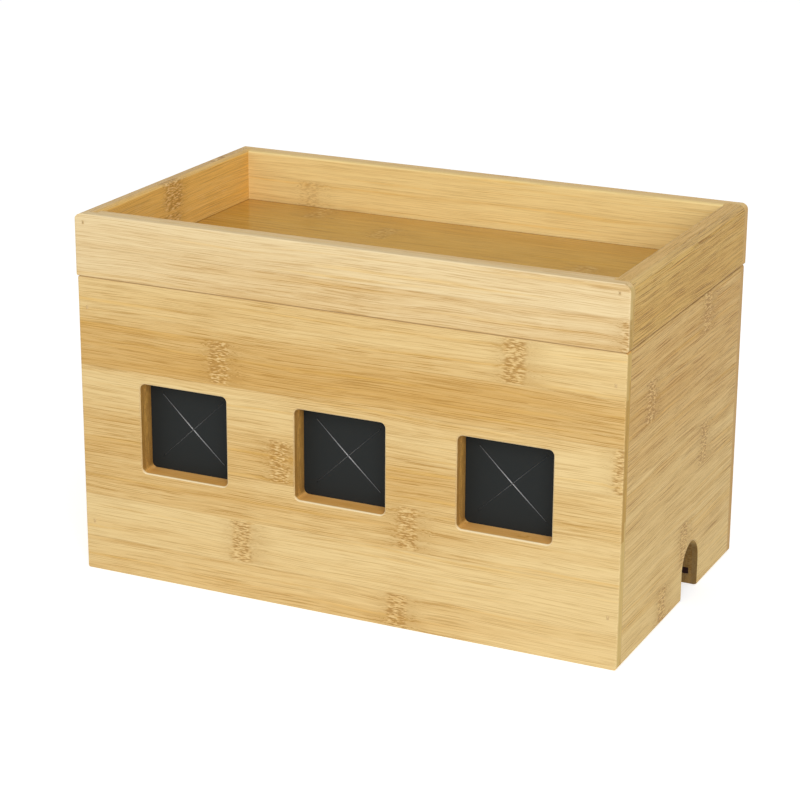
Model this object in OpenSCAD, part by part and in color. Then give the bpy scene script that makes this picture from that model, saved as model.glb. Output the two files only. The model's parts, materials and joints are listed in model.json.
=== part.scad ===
// Cable management box: a bamboo box with three rubber cable windows and a lift-off tray lid.
// The origin is at the centre of the footprint, on the desk. +Z is up and -Y is the windows' side.

/* [Box] */
// Height of the box's walls
box_height = 166; // [130:1:220]
// How far the walls stand in from the lid's rim, all round
lid_overhang = 0.5; // [0.2:0.1:1.5]
// Thickness of the dark base panel
base_t = 3.6; // [3:0.1:5]
// Height of the base panel's underside above the desk
base_lift = 5.4; // [4:0.1:9]

/* [Lid] */
// Length of the lid, left to right
lid_length = 310; // [290:1:360]
// Depth of the lid, front to back
lid_depth = 180; // [140:1:220]
// Height of the lid's rim
rim_height = 34; // [26:1:50]
// Thickness of the tray's floor
floor_t = 5.5; // [4:0.1:7]

/* [Boards] */
// Thickness of the bamboo boards
board_t = 11; // [9:0.1:14]
// Thickness of the lip that covers the end of a side board
joint_lip = 5.5; // [4:0.1:7]

/* [Rounded edges] */
// Radius on the lid's top edges at its left and right
lid_side_round = 4.4; // [2:0.1:5]
// Radius on the lid's top edges at its front and back
lid_front_round = 1; // [0.5:0.1:3]
// Radius on the upright corners of the box and the lid
corner_round = 1; // [0.5:0.1:3]
// Radius at the seam, on the left and right edges of the box and the lid
seam_side_round = 1.9; // [0.5:0.1:2.5]
// Radius at the seam, on the front and back edges of the box and the lid
seam_front_round = 0.6; // [0.3:0.1:2]
// Radius on the box's bottom edges at its left and right
foot_side_round = 2.3; // [0.5:0.1:3]
// Radius on the box's bottom edges at its front and back
foot_front_round = 0.8; // [0.5:0.1:2]
// Radius on the inner top edges of the rim
rim_round = 1.2; // [0.5:0.1:2]

/* [Windows] */
// Width of a window
window_w = 52; // [44:1:58]
// Height of a window
window_h = 50; // [44:1:70]
// Radius of a window's corners
window_round = 3; // [1:0.1:6]
// Distance from one window's centre to the next
window_pitch = 92; // [84:1:95]
// Height of the windows' centres above the desk
window_z = 86; // [55:1:100]
// Width of the eased edge round each window
window_ease = 0.6; // [0.3:0.1:1]

/* [Membranes] */
// Thickness of the rubber sheet
sheet_t = 1.2; // [0.8:0.1:2]
// Width of the sheet's glued margin round a window
glue_margin = 7; // [5:0.5:10]
// Radius of the sheet's corners
sheet_round = 4; // [2:0.5:6]
// Half the width that the crossed slits span
slit_x = 18.5; // [14:0.5:20]
// Half the height that the crossed slits span
slit_z = 17.5; // [14:0.5:20]
// Width of a slit
slit_w = 0.4; // [0.3:0.1:1]
// Gap between a flap's root and the sheet
root_gap = 0.15; // [0.1:0.05:0.2]
// How far a flap's bending line lies outside the slits' ends
root_set = 1; // [0.8:0.1:1.5]

/* [Cable notches] */
// Width of a cable notch
notch_w = 27; // [20:1:32]
// Height of a cable notch
notch_h = 30; // [26:1:45]
// How far a notch's centre lies behind the middle of the side
notch_y = 20.5; // [0:0.5:40]
// Width of the eased edge round a notch
notch_ease = 0.6; // [0.3:0.1:1]
// How far the base panel is cut back behind the wall at a notch
notch_relief = 4; // [3:0.5:10]

/* [Battens] */
// Height of the battens under the tray
batten_h = 8; // [5:0.5:14]
// Width of the battens
batten_w = 10; // [6:0.5:14]
// Play between the battens and the box's walls
lid_play = 1; // [0.6:0.1:2]

/* [Brads] */
// Length of a brad
brad_length = 20; // [16:1:28]
// Width of a brad's head
head_w = 1.2; // [1:0.1:1.6]
// Height of a brad's head
head_h = 2; // [1.8:0.1:2.4]
// Thickness of a brad's head
head_t = 0.8; // [0.6:0.1:1.2]
// Width and height of a brad's shank
shank_w = 1; // [0.8:0.1:1]
// Depth of a brad's head below the wood
brad_set = 0.3; // [0.2:0.1:0.6]
// Height of the lower brads above the desk
brad_low = 28; // [20:1:40]
// Distance of the upper brads below the box's top edge
brad_high_drop = 17; // [10:1:30]
// Distance of the lid's brads below its top edge
lid_brad_drop = 4.6; // [4.5:0.1:8]

/* [Fits] */
// Gap round a panel in its groove or seat
fit_gap = 0.15; // [0.05:0.05:0.3]
// Gap between a brad and its hole
brad_gap = 0.05; // [0.03:0.01:0.1]

/* [Hidden] */
$fn = 48;

// how far a cutting shape runs past the surface that it cuts
over = 1;
box_length = lid_length - 2 * lid_overhang;
box_depth = lid_depth - 2 * lid_overhang;
total_height = box_height + rim_height;
box_inner_x = box_length / 2 - board_t;
box_inner_y = box_depth / 2 - board_t;
rim_inner_x = lid_length / 2 - board_t;
rim_inner_y = lid_depth / 2 - board_t;
front_face_y = -box_depth / 2;
sheet_mid_y = front_face_y + board_t + sheet_t / 2;
sheet_w = window_w + 2 * glue_margin;
sheet_h = window_h + 2 * glue_margin;
root_x = slit_x + root_set;
root_z = slit_z + root_set;
brad_high = box_height - brad_high_drop;
lid_brad_z = total_height - lid_brad_drop;
notch_r = notch_w / 2;

// ---- outlines ----

// An upright rectangle, centred sideways, with one radius on its lower corners and one on its upper ones
module eased_rectangle(w, low, high, low_r, high_r) {
    translate([-w / 2, low + low_r])
        square([w, high - low - low_r - high_r]);
    translate([-w / 2 + high_r, (low + high) / 2])
        square([w - 2 * high_r, (high - low) / 2]);
    translate([-w / 2 + low_r, low])
        square([w - 2 * low_r, (high - low) / 2]);
    for (side = [-1, 1]) {
        translate([side * (w / 2 - high_r), high - high_r])
            circle(high_r);
        translate([side * (w / 2 - low_r), low + low_r])
            circle(low_r);
    }
}

module rounded_rectangle(w, h, r) {
    eased_rectangle(w, -h / 2, h / 2, r, r);
}

// Stands an outline up, facing the front, and extrudes it along Y about y = 0
module along_y(length) {
    rotate([90, 0, 0])
        linear_extrude(length, center = true)
            children();
}

// Stands an outline up, facing the side, and extrudes it along X about x = 0
module along_x(length) {
    rotate([90, 0, 90])
        linear_extrude(length, center = true)
            children();
}

// The outer shape of a four-sided frame, from low to high, with all its outer edges rounded. The radii
// at its sides and at its front and back are pairs, of the bottom edge's and the top edge's
module frame_outside(length, depth, low, high, side_radii, front_radii) {
    intersection() {
        translate([0, 0, low - over])
            linear_extrude(high - low + 2 * over)
                rounded_rectangle(length, depth, corner_round);
        along_y(depth + 2 * over)
            eased_rectangle(length, low, high, side_radii[0], side_radii[1]);
        along_x(length + 2 * over)
            eased_rectangle(depth, low, high, front_radii[0], front_radii[1]);
    }
}

module box_outside() {
    frame_outside(box_length, box_depth, 0, box_height,
        [foot_side_round, seam_side_round], [foot_front_round, seam_front_round]);
}

module lid_outside() {
    frame_outside(lid_length, lid_depth, box_height, total_height,
        [seam_side_round, lid_side_round], [seam_front_round, lid_front_round]);
}

// ---- corner joints: a front or rear board laps over the ends of the side boards ----

module front_blank(length, depth, low, high) {
    difference() {
        translate([-length / 2 - over, -depth / 2 - over, low - over])
            cube([length + 2 * over, board_t + over, high - low + 2 * over]);
        for (side = [-1, 1])
            translate([side * (length / 2 + over - (board_t + over) / 2), -depth / 2 + joint_lip + board_t / 2, low])
                cube([board_t + over, board_t, 2 * (high - low) + 4 * over], center = true);
    }
}

module right_blank(length, depth, low, high) {
    translate([length / 2 - board_t, -depth / 2 + joint_lip, low - over])
        cube([board_t + over, depth - 2 * joint_lip, high - low + 2 * over]);
}

// ---- brads ----

// One brad driven along +Y, with its head at the face y = 0; gap makes it a hole
module brad(gap = 0) {
    translate([-head_w / 2 - gap, brad_set - gap, -head_h / 2 - gap])
        cube([head_w + 2 * gap, head_t + 2 * gap, head_h + 2 * gap]);
    translate([-shank_w / 2 - gap, brad_set, -shank_w / 2 - gap])
        cube([shank_w + 2 * gap, brad_length - brad_set + gap, shank_w + 2 * gap]);
}

// The hole of a brad, open at the face
module brad_hole() {
    brad(brad_gap);
    translate([-head_w / 2 - brad_gap, -over, -head_h / 2 - brad_gap])
        cube([head_w + 2 * brad_gap, over + brad_set, head_h + 2 * brad_gap]);
}

// Puts its children at every brad of a frame, both at the front and at the back
module at_brads(length, depth, heights) {
    for (back = [0, 1], side = [-1, 1], z = heights)
        mirror([0, back, 0])
            translate([side * (length - board_t) / 2, -depth / 2, z])
                children();
}

module at_box_brads() {
    at_brads(box_length, box_depth, [brad_low, brad_high])
        children();
}

module at_lid_brads() {
    at_brads(lid_length, lid_depth, [lid_brad_z])
        children();
}

// ---- box ----

// The space that the base panel fills, with its groove in the four boards
module base_space(gap = 0) {
    reach_x = box_length / 2 - joint_lip - fit_gap + gap;
    reach_y = box_depth / 2 - joint_lip - fit_gap + gap;
    translate([-reach_x, -reach_y, base_lift])
        cube([2 * reach_x, 2 * reach_y, base_t + gap]);
}

// A window through the front panel, with its outer edge eased
module window_cut() {
    flare = window_ease + over;
    translate([0, front_face_y, window_z]) {
        along_y(2 * board_t + 2 * over)
            rounded_rectangle(window_w, window_h, window_round);
        for (sx = [-1, 1], sz = [-1, 1])
            translate([sx * (window_w / 2 - window_round), window_ease, sz * (window_h / 2 - window_round)])
                rotate([90, 0, 0])
                    cylinder(h = flare, r1 = window_round, r2 = window_round + flare);
        along_x(window_w - 2 * window_round)
            polygon([
                [window_ease, window_h / 2], [-over, window_h / 2 + flare],
                [-over, -window_h / 2 - flare], [window_ease, -window_h / 2]
            ]);
        translate([0, 0, -window_h / 2 + window_round])
            linear_extrude(window_h - 2 * window_round)
                polygon([
                    [window_w / 2, window_ease], [window_w / 2 + flare, -over],
                    [-window_w / 2 - flare, -over], [-window_w / 2, window_ease]
                ]);
    }
}

// An arched cable notch through the right-hand wall, with its outer edge eased
module notch_cut() {
    flare = notch_ease + over;
    arch_z = notch_h - notch_r;
    translate([box_length / 2, notch_y, 0]) {
        along_x(2 * board_t + 2 * over) {
            translate([-notch_r, -over])
                square([notch_w, arch_z + over]);
            translate([0, arch_z])
                circle(notch_r);
        }
        translate([-notch_ease, 0, arch_z])
            rotate([0, 90, 0])
                cylinder(h = flare, r1 = notch_r, r2 = notch_r + flare);
        translate([0, 0, -over])
            linear_extrude(arch_z + over)
                polygon([
                    [-notch_ease, notch_r], [over, notch_r + flare],
                    [over, -notch_r - flare], [-notch_ease, -notch_r]
                ]);
    }
}

// The cut-out in the base panel that lets a cable drop through the right-hand notch
module relief_cut() {
    translate([box_inner_x - notch_relief, notch_y, base_lift - over])
        linear_extrude(base_t + 2 * over) {
            translate([0, -notch_r])
                square([notch_relief + board_t, notch_w]);
            circle(notch_r);
        }
}

module front_board() {
    difference() {
        intersection() {
            box_outside();
            front_blank(box_length, box_depth, 0, box_height);
        }
        base_space(fit_gap);
        at_box_brads()
            brad_hole();
    }
}

module side_board() {
    difference() {
        intersection() {
            box_outside();
            right_blank(box_length, box_depth, 0, box_height);
        }
        base_space(fit_gap);
        notch_cut();
        at_box_brads()
            brad_hole();
    }
}

module front_panel() {
    color([0.88, 0.76, 0.53])
        difference() {
            front_board();
            for (n = [-1, 0, 1])
                translate([n * window_pitch, 0, 0])
                    window_cut();
        }
}

module rear_panel() {
    color([0.86, 0.73, 0.5])
        mirror([0, 1, 0])
            front_board();
}

module right_panel() {
    color([0.78, 0.66, 0.45])
        side_board();
}

module left_panel() {
    color([0.78, 0.66, 0.45])
        mirror([1, 0, 0])
            side_board();
}

module base_panel() {
    color([0.2, 0.16, 0.17])
        difference() {
            base_space();
            for (side = [0, 1])
                mirror([side, 0, 0])
                    relief_cut();
        }
}

module box_brads() {
    color([0.42, 0.4, 0.38])
        at_box_brads()
            brad();
}

// ---- membranes: n is the window, -1 left, 0 middle and 1 right ----

module membrane(n) {
    reach = sheet_t / 2 + root_gap;
    color([0.18, 0.18, 0.19])
        translate([n * window_pitch, sheet_mid_y, window_z])
            difference() {
                along_y(sheet_t)
                    rounded_rectangle(sheet_w, sheet_h, sheet_round);
                cube([2 * slit_x, sheet_t + over, 2 * (root_z + reach)], center = true);
                cube([2 * (root_x + reach), sheet_t + over, 2 * slit_z], center = true);
            }
}

// A tongue that hangs from its round root, which lies along X at the origin. The slits run from
// its tip, at the crossing, to their ends: span to each side, and rise above the crossing
module hanging_flap(span, rise, drop) {
    half_root = span - root_gap;
    slope = rise / span;
    slit_shift = slit_w / 2 * norm([1, slope]);
    tip = slit_shift - drop;
    intersection() {
        along_x(2 * half_root) {
            translate([-sheet_t / 2, -drop])
                square([sheet_t, drop]);
            circle(sheet_t / 2);
        }
        along_y(sheet_t + over)
            polygon([
                [-half_root, sheet_t], [half_root, sheet_t], [half_root, tip + half_root * slope],
                [0, tip], [-half_root, tip + half_root * slope]
            ]);
    }
}

// Turns a hanging flap to its place: 0 top, 1 right, 2 bottom, 3 left
module flap(n, quarter) {
    upright = quarter % 2 == 0;
    span = upright ? slit_x : slit_z;
    rise = upright ? slit_z : slit_x;
    color([0.2, 0.2, 0.21])
        translate([n * window_pitch, sheet_mid_y, window_z])
            rotate([0, 90 * quarter, 0])
                translate([0, 0, rise + root_set])
                    hanging_flap(span, rise, rise + root_set);
}

// ---- lid ----

// The space that the tray's floor fills, with its seat in the four rails
module floor_space(gap = 0) {
    reach_x = lid_length / 2 - joint_lip - fit_gap + gap;
    reach_y = lid_depth / 2 - joint_lip - fit_gap + gap;
    translate([-reach_x, -reach_y, box_height])
        cube([2 * reach_x, 2 * reach_y, floor_t]);
}

// The seat of the tray's floor, open below
module floor_seat() {
    floor_space(fit_gap);
    translate([0, 0, -over])
        floor_space(fit_gap);
}

// An outline that is as wide as the tray and flares out along two quarter circles at the rim's top
module flare_outline(half_width) {
    difference() {
        translate([-half_width - rim_round, total_height - rim_round])
            square([2 * (half_width + rim_round), rim_round + over]);
        for (side = [-1, 1])
            translate([side * (half_width + rim_round), total_height - rim_round])
                circle(rim_round);
    }
}

module rim_flare() {
    intersection() {
        along_y(lid_depth)
            flare_outline(rim_inner_x);
        along_x(lid_length)
            flare_outline(rim_inner_y);
    }
}

module front_rail() {
    difference() {
        intersection() {
            lid_outside();
            front_blank(lid_length, lid_depth, box_height, total_height);
        }
        floor_seat();
        rim_flare();
        at_lid_brads()
            brad_hole();
    }
}

module side_rail() {
    difference() {
        intersection() {
            lid_outside();
            right_blank(lid_length, lid_depth, box_height, total_height);
        }
        floor_seat();
        rim_flare();
        at_lid_brads()
            brad_hole();
    }
}

module lid_front_rail() {
    color([0.89, 0.79, 0.59])
        front_rail();
}

module lid_rear_rail() {
    color([0.88, 0.75, 0.5])
        mirror([0, 1, 0])
            front_rail();
}

module lid_right_rail() {
    color([0.74, 0.61, 0.38])
        side_rail();
}

module lid_left_rail() {
    color([0.76, 0.58, 0.3])
        mirror([1, 0, 0])
            side_rail();
}

module tray_floor() {
    color([0.74, 0.57, 0.3])
        floor_space();
}

module lid_brads() {
    color([0.42, 0.4, 0.38])
        at_lid_brads()
            brad();
}

// The battens keep inside the box's walls and hang from the tray's floor
module front_batten() {
    half = box_inner_x - lid_play;
    color([0.8, 0.68, 0.46])
        translate([-half, -box_inner_y + lid_play, box_height - batten_h])
            cube([2 * half, batten_w, batten_h]);
}

module rear_batten() {
    mirror([0, 1, 0])
        front_batten();
}

module right_batten() {
    half = box_inner_y - lid_play - batten_w - fit_gap;
    color([0.78, 0.66, 0.45])
        translate([box_inner_x - lid_play - batten_w, -half, box_height - batten_h])
            cube([batten_w, 2 * half, batten_h]);
}

module left_batten() {
    mirror([1, 0, 0])
        right_batten();
}

front_panel();
rear_panel();
left_panel();
right_panel();
base_panel();
box_brads();
membrane(-1);  // left_membrane
membrane(0);  // middle_membrane
membrane(1);  // right_membrane
flap(-1, 0);  // left_top_flap
flap(-1, 1);  // left_right_flap
flap(-1, 2);  // left_bottom_flap
flap(-1, 3);  // left_left_flap
flap(0, 0);  // middle_top_flap
flap(0, 1);  // middle_right_flap
flap(0, 2);  // middle_bottom_flap
flap(0, 3);  // middle_left_flap
flap(1, 0);  // right_top_flap
flap(1, 1);  // right_right_flap
flap(1, 2);  // right_bottom_flap
flap(1, 3);  // right_left_flap
lid_front_rail();
lid_rear_rail();
lid_left_rail();
lid_right_rail();
tray_floor();
lid_brads();
front_batten();
rear_batten();
left_batten();
right_batten();
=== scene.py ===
"""Dresses the bamboo cable management box: bamboo boards, black inner panel, rubber windows, brads, stage."""

import json
import math
import random

import bmesh
import bpy
from bpy.props import FloatProperty, FloatVectorProperty, IntProperty, PointerProperty
from mathutils import Color, Matrix, Vector

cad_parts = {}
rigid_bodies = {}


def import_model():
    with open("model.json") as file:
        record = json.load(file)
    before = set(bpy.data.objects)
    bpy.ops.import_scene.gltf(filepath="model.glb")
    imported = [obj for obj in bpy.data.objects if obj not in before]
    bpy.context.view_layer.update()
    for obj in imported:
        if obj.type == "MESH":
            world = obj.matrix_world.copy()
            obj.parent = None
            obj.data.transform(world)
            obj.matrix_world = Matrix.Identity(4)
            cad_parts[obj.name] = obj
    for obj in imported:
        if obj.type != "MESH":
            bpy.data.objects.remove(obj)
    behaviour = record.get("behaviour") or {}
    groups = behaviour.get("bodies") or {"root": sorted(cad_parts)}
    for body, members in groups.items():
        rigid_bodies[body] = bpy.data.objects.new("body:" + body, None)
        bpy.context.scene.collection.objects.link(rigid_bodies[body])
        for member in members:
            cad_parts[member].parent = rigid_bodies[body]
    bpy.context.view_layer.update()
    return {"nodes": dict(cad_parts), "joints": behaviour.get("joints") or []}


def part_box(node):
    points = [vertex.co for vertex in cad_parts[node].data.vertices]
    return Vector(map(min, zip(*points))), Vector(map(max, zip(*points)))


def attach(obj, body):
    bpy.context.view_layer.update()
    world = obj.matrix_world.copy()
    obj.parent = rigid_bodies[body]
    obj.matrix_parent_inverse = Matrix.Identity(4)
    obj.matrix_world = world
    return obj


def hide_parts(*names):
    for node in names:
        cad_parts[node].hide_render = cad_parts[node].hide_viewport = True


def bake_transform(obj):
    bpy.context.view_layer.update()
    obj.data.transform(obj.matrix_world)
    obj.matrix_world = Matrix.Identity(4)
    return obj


bl_info = {
    "name": "Bamboo cable box",
    "version": (1, 0, 0),
    "blender": (4, 5, 0),
    "location": "3D View > Sidebar > Cable box",
    "description": "Dresses a bamboo cable management box around its packed model",
    "category": "Object",
}

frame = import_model()

MM = 0.001
FAR = 400.0  # a knuckle this far along, in millimetres, lies beyond the board
HALF_REACH = 512.0  # knuckle places are kept in a ramp as shares of this, in millimetres
LAYER_SHIFT = 9.7  # how far aside, in millimetres, the strips of the next layer lie
LAYER_KNUCKLE_SHIFT = 61.0  # how far along, in millimetres, the knuckles of the next layer lie
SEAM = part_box("front_panel")[1].z / MM  # where the lid meets the box, in millimetres
TRAY = (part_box("lid_right_rail")[0].x / MM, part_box("lid_rear_rail")[0].y / MM)  # the rails' inner faces
QUARTERS = ("top", "right", "bottom", "left")
WINDOWS = {"left": 1.0, "middle": 0.85, "right": 1.1}  # how far the lower flaps of each window stand out
UPPER_LEAN = -0.2  # how far the upper flaps stand out beside that
SHEET_ROUND = 4.0  # radius of a rubber sheet's corners, in millimetres
FILLER_SHOW = {"box": 0.2, "lid": 1.0}  # how far the brads show through the putty
SIDE_FIBRE = 0.7  # how wide the fibres of the jointed boards are, beside those of the others
SILL_PAINTED_LIGHT = (1.16, 1.02, 0.98)  # painted light: multiplies the colours of the windows' upward-facing sills, making them lighter
CHEEK_TINT = (1.22, 1.12, 1.14)  # multiplies the colours of the end grain in the windows' sides
CAMERA_RIGHT = Vector((0.90267179, 0.43029288, 0.00562755))
CAMERA_UP = Vector((-0.14179558, 0.28506202, 0.9479629))
LAMP_AIM = Vector((0, 0, 0.1))


def linear(code):
    """Turns a hex colour such as E2BE85 into Blender's linear red, green and blue."""
    shares = [int(code[i:i + 2], 16) / 255 for i in (0, 2, 4)]
    return tuple(c / 12.92 if c <= 0.04045 else ((c + 0.055) / 1.055) ** 2.4 for c in shares)


def tinted(colour, *tints):
    """A colour multiplied by each tint in turn."""
    for tint in tints:
        colour = tuple(share * factor for share, factor in zip(colour, tint))
    return colour


def axis_sign(axis):
    """-1 for an axis such as -Z, and 1 for one such as Z."""
    return -1.0 if axis.startswith("-") else 1.0


def axis_number(axis):
    """0, 1 or 2 for X, Y or Z, with or without a minus."""
    return "XYZ".index(axis[-1])


# ---- Boards: how each one's strips lie, and where their knuckles are ----


class Board:
    """One bamboo board. Along, across and deep are the axes of its grain, of its strips and of its thickness.

    Strips are listed from the board's top, or its far edge, as (tone, knuckle, end): tone runs from 0, pale,
    to 1, dark, knuckle is the place in millimetres along the grain of a mark that the culm's joint left, and
    end is how pale the strip's end grain is."""

    outside = 0.0  # how far outside its edge, in millimetres, its first strip would start
    amber = 0.0  # how far its face leans to amber
    cut_amber = 0.0  # how far its cut edges do
    vivid = 0.4  # strength of its dark fibres
    ink = (1.0, 1.0, 1.0)  # multiplies its dark fibres' colour
    mark = 1.0  # strength of its knuckles
    stretch = 1.0  # how long its knuckles are, beside the usual length
    edge_pale = 0.55  # strength of its pale eased edges, which are partly wear and partly painted highlight
    tint = (1.0, 1.0, 1.0)  # multiplies its face's colours; on the lid's rear and left rails it also paints light
    end_tint = (1.0, 1.0, 1.0)  # multiplies its cut ends' colours
    fade = (0.0, 1.0, 0.0)  # where it starts to get paler along the grain, where it ends, and by how much
    jointed = False  # its ends butt against the lips of other boards
    satin = False  # it has the tray's lacquer
    pierced = False  # windows are cut through it

    def __init__(self, along, across, deep, strips, **finish):
        self.along, self.across, self.deep, self.strips = along, across, deep, strips
        for name, value in finish.items():
            if not hasattr(Board, name):
                raise TypeError(f"a board has no {name}")
            setattr(self, name, value)


def alike(*strips):
    """Strips whose ends are all equally pale, given as (tone, knuckle)."""
    return [(tone, knuckle, 0.2) for tone, knuckle in strips]


def plain_strips(seed, count, tone):
    """Strips for a board that nothing special is known of, the same on every run."""
    draw = random.Random(seed)
    return alike(*((tone + draw.uniform(-0.3, 0.3), draw.uniform(-170, 170)) for _ in range(count)))


FRONT_END_TINT = (0.95, 1.02, 0.84)
# darkens the side boards' end grain: partly its own darker colour, partly painted shade for the shadowed
# cheek of the notch
SIDE_END_TINT_AND_SHADE = (0.375, 0.345, 0.205)
BOARDS = {
    "front_panel": Board(
        "X", "-Z", "Y", [
            (0.29, 96, 0.3), (0.80, -70, 0.0), (0.17, 155, 0.0), (0.53, -34.8, 0.0), (0.44, 39, 0.45),
            (0.01, -58, 0.5), (0.27, 33, 0.55),
        ], cut_amber=0.6, vivid=0.62, ink=(1.15, 1.12, 0.85), mark=0.96, tint=(0.97, 0.975, 0.92),
        end_tint=FRONT_END_TINT, fade=(40, 150, 0.25), pierced=True),
    "rear_panel": Board("X", "-Z", "-Y", plain_strips(3, 7, 0.42)),
    "left_panel": Board(
        "Y", "-Z", "X", plain_strips(8, 7, 0.4),
        vivid=0.6, edge_pale=0.15, end_tint=SIDE_END_TINT_AND_SHADE, jointed=True),
    "right_panel": Board(
        "Y", "-Z", "-X", alike(
            (0.56, 30.5), (0.60, -53), (0.46, FAR), (0.32, 33.6), (0.22, FAR), (0.1, 7), (0.0, -24.5)),
        outside=1.9, vivid=0.9, ink=(1.02, 0.94, 0.76), edge_pale=0.15, tint=(0.97, 0.955, 0.79),
        end_tint=SIDE_END_TINT_AND_SHADE, jointed=True),
    "lid_front_rail": Board(
        "X", "-Z", "Y", [(0.0, FAR, 0.4), (0.28, 157, 0.1)],
        outside=6.9, cut_amber=0.1, vivid=0.6, ink=(1.16, 1.04, 0.66), mark=0.95, tint=(0.985, 1.035, 1.14),
        end_tint=FRONT_END_TINT, fade=(-140, 40, -0.12)),
    # its tint is painted light: it makes the rail lighter than the lamps light it
    "lid_rear_rail": Board(
        "X", "-Z", "Y", alike((0.02, FAR), (0.18, -104), (0.24, 60)),
        outside=11.0, cut_amber=0.3, vivid=0.42, mark=0.4, edge_pale=0.0, tint=(1.13, 1.17, 1.04)),
    # its tint is partly its colour and partly painted light against the front rail's shadow
    "lid_left_rail": Board(
        "Y", "-Z", "-X", alike((0.58, -6.5), (0.48, -8.5)),
        outside=7.4, amber=0.75, vivid=0.45, mark=0.85, stretch=1.7, edge_pale=0.1, tint=(1.1, 1.11, 1.15),
        jointed=True),
    "lid_right_rail": Board(
        "Y", "-Z", "-X", alike((0.6, FAR), (0.64, FAR)),
        outside=9.4, cut_amber=0.4, vivid=1.05, ink=(0.82, 0.74, 0.3), edge_pale=0.15,
        tint=(0.95, 0.905, 0.575), jointed=True),
    "tray_floor": Board(
        "X", "-Y", "-Z", alike(
            (0.78, -91), (0.66, -39), (0.84, 88), (0.7, FAR), (0.8, 20), (0.9, -120), (0.78, 64)),
        outside=-5.35, amber=0.55, vivid=0.6, tint=(0.845, 0.785, 0.56), satin=True),
    "front_batten": Board("X", "-Y", "-Z", plain_strips(12, 2, 0.5)),
    "rear_batten": Board("X", "-Y", "-Z", plain_strips(13, 2, 0.5)),
    "left_batten": Board("Y", "X", "-Z", plain_strips(14, 2, 0.5)),
    "right_batten": Board("Y", "X", "-Z", plain_strips(15, 2, 0.5)),
}


# ---- Settings ----


def colour_setting(name, description, code):
    """A setting for a colour, which starts as this hex code."""
    return FloatVectorProperty(
        name=name, description=description, subtype="COLOR", size=3, min=0, max=1, default=linear(code))


def length_setting(name, description, low, high, start):
    """A setting for a length: the least, the most and the first one are given in millimetres."""
    return FloatProperty(
        name=name, description=description, unit="LENGTH", min=low * MM, max=high * MM, default=start * MM)


def factor_setting(name, description, start):
    """A setting for a share from 0 to 1."""
    return FloatProperty(name=name, description=description, subtype="FACTOR", min=0, max=1, default=start)


class BambooSettings(bpy.types.PropertyGroup):
    """How the laminated bamboo boards look."""

    pale: colour_setting("Pale", "Colour of the palest strips", "EACE98")
    tan: colour_setting("Tan", "Colour of the darkest strips", "CFA056")
    amber: colour_setting("Amber", "Colour that amber boards and warm streaks lean to", "EABA5A")
    fibre: colour_setting("Fibre", "Colour of the dark fibres", "A27838")
    knuckle: colour_setting("Knuckle", "Colour of the marks where the culm's joints were", "9C7030")
    end_grain: colour_setting("End grain", "Colour of the lacquered end grain", "A67C42")
    # colour of the eased edges: partly wear, partly painted highlight
    worn_and_highlight: colour_setting("Worn edge", "Colour of the eased edges", "F4E0B4")
    # the real dark of cut fibre ends and of the end grain's outer layer, and the colour of painted shade in
    # the seam, the tray's corners and the windows' depths
    grime: colour_setting("Dark ends and shade", "Colour of the seam's depth and of cut fibre ends", "6A3F10")
    strip_width: length_setting("Strip width", "Width of the strips that a board is glued from", 5, 50, 24.4)
    layer: length_setting("Layer", "Thickness of one layer of strips", 2, 20, 3.7)
    fibre_width: length_setting("Fibre width", "Distance between neighbouring fibre streaks", 0.2, 5, 0.5)
    knuckle_length: length_setting("Knuckle length", "Length of a knuckle along the grain", 2, 30, 12.0)
    gloss: factor_setting("Roughness", "Roughness of the boards' thin oil finish", 0.5)
    satin: factor_setting("Lacquer roughness", "Roughness of the tray floor's lacquer", 0.12)


class RubberSettings(bpy.types.PropertyGroup):
    """Sizes and finish of the slit rubber windows."""

    colour: colour_setting("Rubber", "Colour of the rubber", "070809")
    bloom: colour_setting("Bloom", "Colour of the dusty bloom on the rubber", "2B2E2E")
    dusty: factor_setting("Dusty", "How far the bloom covers the rubber's own colour", 0.8494)
    rough: factor_setting("Roughness", "Roughness of the rubber", 0.56)
    # colour of the painted highlight on the rubber's cut edges, which also stands for the paler cut rubber
    cut_highlight: colour_setting("Cut edge", "Colour of the rubber where it was cut", "F6F7FA")
    sheet: length_setting("Sheet thickness", "Thickness of the rubber sheet", 0.5, 3, 1.2)
    slit: length_setting("Slit", "Width of a slit", 0.05, 1, 0.1)
    span_x: length_setting("Slit half width", "Half the width that the crossed slits span", 10, 30, 18.5)
    span_z: length_setting("Slit half height", "Half the height that the crossed slits span", 10, 30, 17.5)
    root_set: length_setting("Root", "How far the bending line lies outside the slits' ends", 0.5, 3, 1.0)
    bend: length_setting("Bend", "Length of a flap that curves when it is pushed", 2, 15, 7.0)
    proud: length_setting("Proud", "How far the tips of the lower flaps stand out", 0, 2, 0.55)
    edge: length_setting("Edge", "Radius of the rubber's cut edges", 0.05, 0.5, 0.14)
    # painted highlight of the slit whose cut edges face away from the light, beside the other
    faint_highlight: factor_setting("Faint", "How pale the fainter of the two slits is beside the other", 0.36)
    rows: IntProperty(
        name="Rows", description="Rows of faces from a flap's root to its tip", min=8, max=60, default=26)
    columns: IntProperty(
        name="Columns", description="Faces across a flap", min=4, max=40, default=14)


class BradSettings(bpy.types.PropertyGroup):
    """Sizes of the brads' heads and of the putty over them."""

    head_w: length_setting("Head width", "Width of a brad's head", 0.5, 3, 1.2)
    head_h: length_setting("Head height", "Height of a brad's head", 0.5, 4, 2.0)
    set: length_setting("Set", "Depth of a brad's head below the wood", 0.1, 1, 0.3)
    gap: length_setting("Gap", "Gap between a brad's head and its hole, which the putty fills", 0, 0.2, 0.045)


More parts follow.
